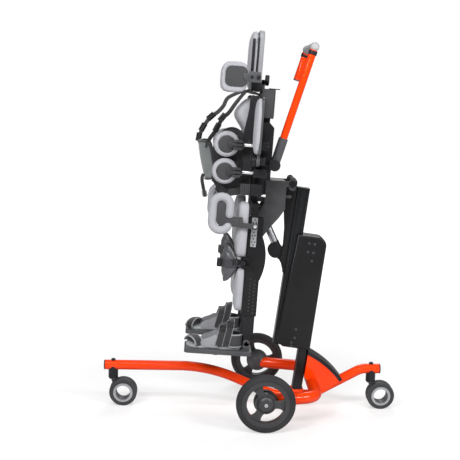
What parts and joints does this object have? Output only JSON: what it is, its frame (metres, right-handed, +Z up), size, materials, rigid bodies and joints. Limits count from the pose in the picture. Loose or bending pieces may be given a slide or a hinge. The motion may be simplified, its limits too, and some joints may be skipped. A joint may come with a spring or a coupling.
{
  "type": "standing frame",
  "caption": "Supine standing frame: padded board with head, trunk, hip and knee supports and sandals, tilting on a lift mast over a wheeled tube base with casters and push handle.",
  "frame": {"origin": "centre of the bounding box's bottom face, on the floor", "axes": "+Z up, -X the way the user faces, -Y the user's left"},
  "size_m": [1.062, 0.623, 1.342],
  "materials": {
    "orange_paint": "gloss orange-red powder coat",
    "black_metal": "satin black anodised",
    "black_steel": "satin black powder coat",
    "black_plastic": "fine-grained black",
    "grey_plastic": "fine-grained dark grey",
    "steel": "polished steel",
    "tyre": "black solid tyre",
    "pad": "soft light grey cushion",
    "dark_foam": "matt dark foam",
    "webbing": "woven black webbing",
    "vest": "grey-green padded cloth"
  },
  "bodies": {
    "base": {"front_boom": "orange_paint", "rear_boom": "orange_paint", "wheel_arm_tube": "orange_paint", "gusset_frame": "orange_paint", "gusset_cover": "black_plastic", "boom_fittings": "black_plastic", "base_screws": "steel", "mast_foot": "orange_paint", "rear_column_post": "black_metal", "column_guides": "black_plastic", "lift_actuator": "steel", "left_mast_cover": "black_plastic", "right_mast_cover": "black_plastic", "hub_housings": "grey_plastic", "wheel_axles": "steel"},
    "left_wheel": {"left_tyre": "tyre", "left_wheel_centre": "grey_plastic"},
    "right_wheel": {"right_tyre": "tyre", "right_wheel_centre": "grey_plastic"},
    "front_caster": {"front_caster_fork": "black_plastic"},
    "rear_caster": {"rear_caster_fork": "black_plastic"},
    "front_left_roller": {"front_left_ring": "tyre"},
    "front_right_roller": {"front_right_ring": "tyre"},
    "rear_left_roller": {"rear_left_ring": "tyre"},
    "rear_right_roller": {"rear_right_ring": "tyre"},
    "carriage": {"lift_column": "black_metal", "lift_ram": "steel", "tilt_bracket": "black_steel", "pivot_pins": "steel"},
    "actuator_body": {"actuator_housing": "black_plastic", "actuator_tube": "steel"},
    "actuator_piston": {"actuator_rod": "steel"},
    "board": {"tilt_box": "black_metal", "spine": "black_plastic", "back_board": "black_plastic", "back_cushion": "pad", "support_brackets": "black_plastic", "leg_frames": "black_metal", "leg_pads": "pad", "chest_vest": "vest", "harness_straps": "webbing"},
    "push_handle": {"handle_tube": "orange_paint", "handle_socket": "grey_plastic", "handle_grip": "dark_foam"},
    "head_support": {"head_frame": "black_plastic", "head_pads": "pad"},
    "left_arm": {"left_arm_support": "pad"},
    "right_arm": {"right_arm_support": "pad"},
    "upper_left_trunk": {"upper_left_lateral": "pad"},
    "lower_left_trunk": {"lower_left_lateral": "pad"},
    "upper_right_trunk": {"upper_right_lateral": "pad"},
    "lower_right_trunk": {"lower_right_lateral": "pad"},
    "left_hip": {"left_hip_lateral": "pad"},
    "right_hip": {"right_hip_lateral": "pad"},
    "left_knee": {"left_knee_support": "grey_plastic"},
    "right_knee": {"right_knee_support": "grey_plastic"},
    "left_leg_slide": {"left_foot_slide": "black_plastic"},
    "right_leg_slide": {"right_foot_slide": "black_plastic"},
    "left_foot": {"left_footplate": "black_plastic"},
    "right_foot": {"right_footplate": "black_plastic"}
  },
  "joints": [
    {"name": "left_wheel_spin", "type": "hinge", "parent": "base", "child": "left_wheel", "pos_m": [0.041, -0.28, 0.1015], "axis": [0, 1, 0], "continuous": true},
    {"name": "right_wheel_spin", "type": "hinge", "parent": "base", "child": "right_wheel", "pos_m": [0.041, 0.28, 0.1015], "axis": [0, 1, 0], "continuous": true},
    {"name": "front_caster_swivel", "type": "hinge", "parent": "base", "child": "front_caster", "pos_m": [-0.498, 0, 0.112], "axis": [0, 0, 1], "continuous": true},
    {"name": "rear_caster_swivel", "type": "hinge", "parent": "base", "child": "rear_caster", "pos_m": [0.444, 0, 0.112], "axis": [0, 0, 1], "continuous": true},
    {"name": "front_left_roller_spin", "type": "hinge", "parent": "front_caster", "child": "front_left_roller", "pos_m": [-0.461, -0.013, 0.05], "axis": [0, 1, 0], "continuous": true},
    {"name": "front_right_roller_spin", "type": "hinge", "parent": "front_caster", "child": "front_right_roller", "pos_m": [-0.461, 0.013, 0.05], "axis": [0, 1, 0], "continuous": true},
    {"name": "rear_left_roller_spin", "type": "hinge", "parent": "rear_caster", "child": "rear_left_roller", "pos_m": [0.481, -0.013, 0.05], "axis": [0, 1, 0], "continuous": true},
    {"name": "rear_right_roller_spin", "type": "hinge", "parent": "rear_caster", "child": "rear_right_roller", "pos_m": [0.481, 0.013, 0.05], "axis": [0, 1, 0], "continuous": true},
    {"name": "mast_lift", "type": "slide", "parent": "base", "child": "carriage", "axis": [0.1219, 0, 0.9925], "range_m": [0, 0.15]},
    {"name": "board_tilt", "type": "hinge", "parent": "carriage", "child": "board", "pos_m": [0.12875, 0, 0.82609], "axis": [0, 1, 0], "range_deg": [0, 75]},
    {"name": "actuator_swing", "type": "hinge", "parent": "carriage", "child": "actuator_body", "pos_m": [0.10491, 0, 0.54993], "axis": [0, 1, 0], "range_deg": [-1, 10.74]},
    {"name": "actuator_extend", "type": "slide", "parent": "actuator_body", "child": "actuator_piston", "axis": [-0.427, 0, 0.9042], "range_m": [-0.002, 0.1735]},
    {"name": "handle_fold", "type": "hinge", "parent": "board", "child": "push_handle", "pos_m": [0.05725, -0.12, 0.89492], "axis": [0, 1, 0], "range_deg": [-10, 75]},
    {"name": "head_height", "type": "slide", "parent": "board", "child": "head_support", "axis": [0.0523, 0, 0.9986], "range_m": [0, 0.05]},
    {"name": "left_arm_swing", "type": "hinge", "parent": "board", "child": "left_arm", "pos_m": [-0.00398, -0.19, 0.91115], "axis": [0.9986, 0, -0.0523], "range_deg": [0, 90]},
    {"name": "right_arm_swing", "type": "hinge", "parent": "board", "child": "right_arm", "pos_m": [-0.00398, 0.19, 0.91115], "axis": [-0.9986, 0, 0.0523], "range_deg": [0, 90]},
    {"name": "upper_left_trunk_depth", "type": "slide", "parent": "board", "child": "upper_left_trunk", "axis": [0.9986, 0, -0.0523], "range_m": [-0.035, 0.02]},
    {"name": "lower_left_trunk_depth", "type": "slide", "parent": "board", "child": "lower_left_trunk", "axis": [0.9986, 0, -0.0523], "range_m": [-0.035, 0.02]},
    {"name": "upper_right_trunk_depth", "type": "slide", "parent": "board", "child": "upper_right_trunk", "axis": [0.9986, 0, -0.0523], "range_m": [-0.035, 0.02]},
    {"name": "lower_right_trunk_depth", "type": "slide", "parent": "board", "child": "lower_right_trunk", "axis": [0.9986, 0, -0.0523], "range_m": [-0.035, 0.02]},
    {"name": "left_hip_width", "type": "slide", "parent": "board", "child": "left_hip", "axis": [0, -1, 0], "range_m": [0, 0.035]},
    {"name": "right_hip_width", "type": "slide", "parent": "board", "child": "right_hip", "axis": [0, 1, 0], "range_m": [0, 0.035]},
    {"name": "left_knee_swing", "type": "hinge", "parent": "board", "child": "left_knee", "pos_m": [-0.04327, -0.162, 0.56273], "axis": [0.0523, 0, 0.9986], "range_deg": [0, 90]},
    {"name": "right_knee_swing", "type": "hinge", "parent": "board", "child": "right_knee", "pos_m": [-0.04327, 0.162, 0.56273], "axis": [-0.0523, 0, -0.9986], "range_deg": [0, 90]},
    {"name": "left_leg_length", "type": "slide", "parent": "board", "child": "left_leg_slide", "axis": [0.0523, 0, 0.9986], "range_m": [-0.06, 0.02]},
    {"name": "left_foot_angle", "type": "hinge", "parent": "left_leg_slide", "child": "left_foot", "pos_m": [-0.02418, -0.129, 0.27734], "axis": [0, 1, 0], "range_deg": [-15, 20]},
    {"name": "right_leg_length", "type": "slide", "parent": "board", "child": "right_leg_slide", "axis": [0.0523, 0, 0.9986], "range_m": [-0.06, 0.02]},
    {"name": "right_foot_angle", "type": "hinge", "parent": "right_leg_slide", "child": "right_foot", "pos_m": [-0.02418, 0.129, 0.27734], "axis": [0, 1, 0], "range_deg": [-15, 20]}
  ],
  "couplings": [
    {"joint": "actuator_swing", "follows": "board_tilt", "ratio": 0.12983},
    {"joint": "actuator_extend", "follows": "board_tilt", "m_per_rad": 0.13104}
  ]
}
